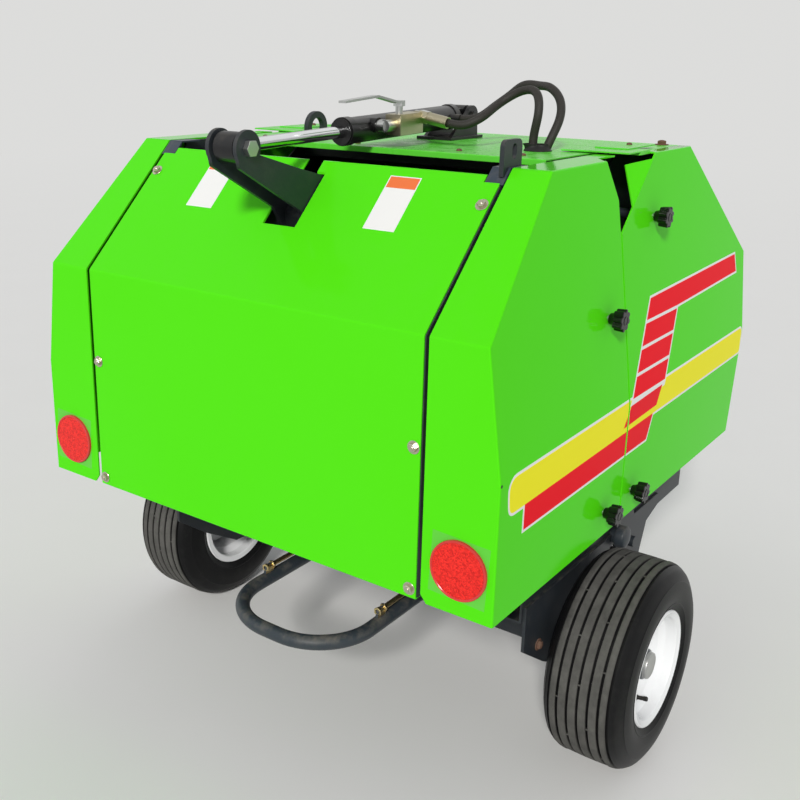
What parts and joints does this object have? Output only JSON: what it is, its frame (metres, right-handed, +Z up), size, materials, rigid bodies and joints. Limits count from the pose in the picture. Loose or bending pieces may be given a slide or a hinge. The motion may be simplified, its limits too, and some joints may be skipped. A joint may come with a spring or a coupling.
{
  "type": "mini round baler",
  "caption": "Small drawn round baler: green side covers, lifting rear gate with one cylinder, tined pick-up, low wheels, drawbar and parking jack.",
  "frame": {"origin": "on the ground, below the middle of the machine's length and width", "axes": "+X forward along the drawbar, +Y to the left wheel, +Z up from the ground"},
  "size_m": [1.5389, 1.24, 1.2723],
  "materials": {
    "green_paint": "glossy apple green paint",
    "slate_paint": "satin slate grey paint",
    "black_paint": "semi-gloss black paint",
    "roller_paint": "worn dark paint",
    "white_paint": "glossy white paint",
    "chrome": "polished rod",
    "zinc": "zinc plate with a yellow tint",
    "steel": "oiled steel",
    "cast_housing": "painted casting",
    "tyre": "dull black",
    "hose_rubber": "dull black hose",
    "knob_plastic": "shiny black",
    "guard_plastic": "black guard plastic",
    "reflector": "red prism reflector"
  },
  "bodies": {
    "root": {"chamber_side_left": "slate_paint", "chamber_side_right": "slate_paint", "front_cover_left": "green_paint", "front_cover_right": "green_paint", "top_cover": "green_paint", "nose_sheet": "green_paint", "front_sheet": "slate_paint", "frame_rollers": "roller_paint", "frame_knobs": "knob_plastic", "rail_left": "slate_paint", "rail_right": "slate_paint", "axle_beam": "slate_paint", "front_crossbeam": "slate_paint", "top_crossbeam": "slate_paint", "drawbar": "slate_paint", "jack_tube": "slate_paint", "gearbox": "cast_housing", "gearbox_guard": "guard_plastic", "drive_chains": "steel", "pickup_sides": "slate_paint", "pickup_bands": "slate_paint", "ramp_bar": "slate_paint", "cylinder_mount": "black_paint", "lifting_ring": "slate_paint", "hose_a": "hose_rubber", "hose_b": "hose_rubber"},
    "gate": {"gate_skin": "green_paint", "gate_side_left": "slate_paint", "gate_side_right": "slate_paint", "rear_cover_left": "green_paint", "rear_cover_right": "green_paint", "gate_rollers": "roller_paint", "gate_arm": "slate_paint", "rod_pin": "zinc", "reflectors": "reflector", "gate_knobs": "knob_plastic"},
    "barrel": {"cylinder_barrel": "black_paint", "valve_block": "zinc"},
    "rod": {"cylinder_rod": "chrome"},
    "wheel_left": {"tyre_left": "tyre", "rim_left": "white_paint"},
    "wheel_right": {"tyre_right": "tyre", "rim_right": "white_paint"},
    "reel": {"pickup_reel": "steel"},
    "drive_stub": {"pto_shaft": "steel"},
    "jack_foot": {"jack_leg": "zinc"}
  },
  "joints": [
    {"name": "gate_lift", "type": "hinge", "parent": "root", "child": "gate", "pos_m": [-0.2525, 0, 1.02], "axis": [0, 1, 0], "range_deg": [0, 45]},
    {"name": "cylinder_tilt", "type": "hinge", "parent": "root", "child": "barrel", "pos_m": [-0.0405, 0, 1.195], "axis": [0, 1, 0], "range_deg": [0, 32.97]},
    {"name": "rod_slide", "type": "slide", "parent": "barrel", "child": "rod", "axis": [0.9995, 0, 0.0314], "range_m": [0, 0.1662]},
    {"name": "left_wheel_spin", "type": "hinge", "parent": "root", "child": "wheel_left", "pos_m": [-0.2455, 0.54, 0.203], "axis": [0, 1, 0], "continuous": true},
    {"name": "right_wheel_spin", "type": "hinge", "parent": "root", "child": "wheel_right", "pos_m": [-0.2455, -0.54, 0.203], "axis": [0, 1, 0], "continuous": true},
    {"name": "reel_spin", "type": "hinge", "parent": "root", "child": "reel", "pos_m": [0.0095, 0, 0.28], "axis": [0, 1, 0], "continuous": true},
    {"name": "drive_stub_spin", "type": "hinge", "parent": "root", "child": "drive_stub", "pos_m": [0.4235, 0, 0.6], "axis": [1, 0, 0], "continuous": true},
    {"name": "jack_slide", "type": "slide", "parent": "root", "child": "jack_foot", "axis": [0, 0, 1], "range_m": [0, 0.2]}
  ],
  "couplings": [
    {"joint": "cylinder_tilt", "follows": "gate_lift", "ratio": 0.73263},
    {"joint": "rod_slide", "follows": "gate_lift", "m_per_rad": 0.21159}
  ]
}
